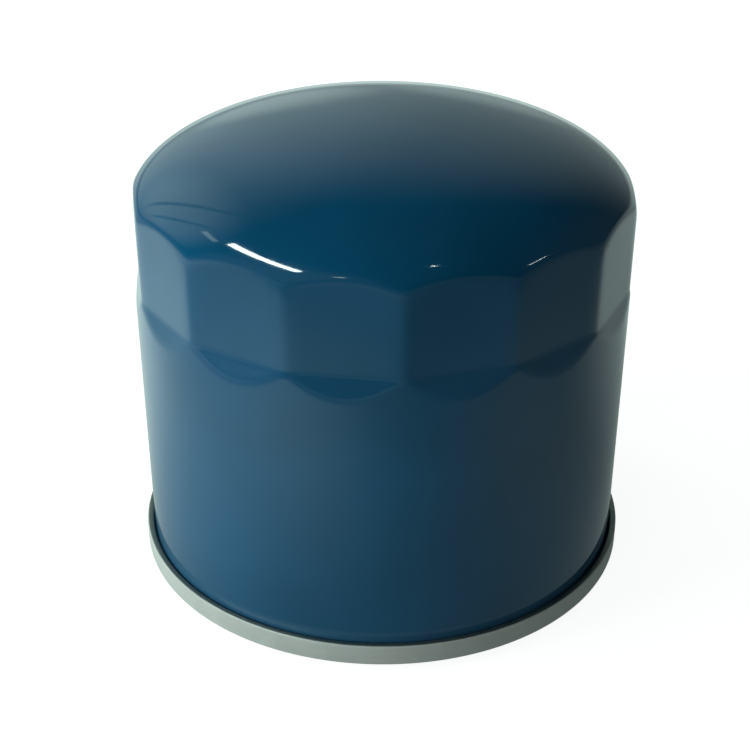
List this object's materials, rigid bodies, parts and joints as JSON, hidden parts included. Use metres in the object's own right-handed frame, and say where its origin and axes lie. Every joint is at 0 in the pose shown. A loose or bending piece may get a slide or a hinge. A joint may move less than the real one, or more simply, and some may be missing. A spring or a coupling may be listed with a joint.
{
  "type": "spin-on oil filter",
  "caption": "Spin-on oil filter: domed steel can with wrench flats, seamed lid, threaded base plate, gasket and a sprung pleated element with bypass valve.",
  "frame": {"origin": "on the can's axis, at the gasket's sealing face, which is also the middle of the box's bottom", "axes": "+Z along the can's axis from the gasket to the dome; -Y is the pictured front"},
  "size_m": [0.08, 0.08, 0.0741],
  "materials": {
    "blue_paint": "glossy deep blue enamel",
    "zinc_steel": "dull galvanised sheet",
    "plate_steel": "oiled pressed steel",
    "tin_plate": "satin tin plate",
    "spring_steel": "dark drawn wire",
    "black_rubber": "matte moulded nitrile",
    "orange_rubber": "matte moulded silicone",
    "sealant": "dull dark lining compound",
    "adhesive": "cured plastisol",
    "filter_paper": "matte resin-treated pleated paper"
  },
  "bodies": {
    "housing": {"can": "blue_paint", "seam_lid": "zinc_steel", "seam_compound": "sealant", "base_plate": "plate_steel", "gasket": "black_rubber", "anti_drain_valve": "orange_rubber", "retaining_spring": "spring_steel"},
    "element": {"lower_end_cap": "tin_plate", "upper_end_cap": "tin_plate", "lower_potting": "adhesive", "upper_potting": "adhesive", "centre_tube": "tin_plate", "filter_media": "filter_paper", "media_clip": "tin_plate", "bypass_seat": "tin_plate", "bypass_cage": "tin_plate", "bypass_spring": "spring_steel"},
    "bypass_valve": {"bypass_seal": "black_rubber", "bypass_poppet": "tin_plate", "bypass_stem": "spring_steel"}
  },
  "joints": [
    {"name": "element_lift", "type": "slide", "parent": "housing", "child": "element", "axis": [0, 0, 1], "range_m": [0, 0.002], "stiffness_N_per_m": 6000, "springref_m": -0.006, "deforming": ["retaining_spring"]},
    {"name": "bypass_open", "type": "slide", "parent": "element", "child": "bypass_valve", "axis": [0, 0, -1], "range_m": [0, 0.003], "stiffness_N_per_m": 3000, "springref_m": -0.005, "deforming": ["bypass_spring"]}
  ]
}
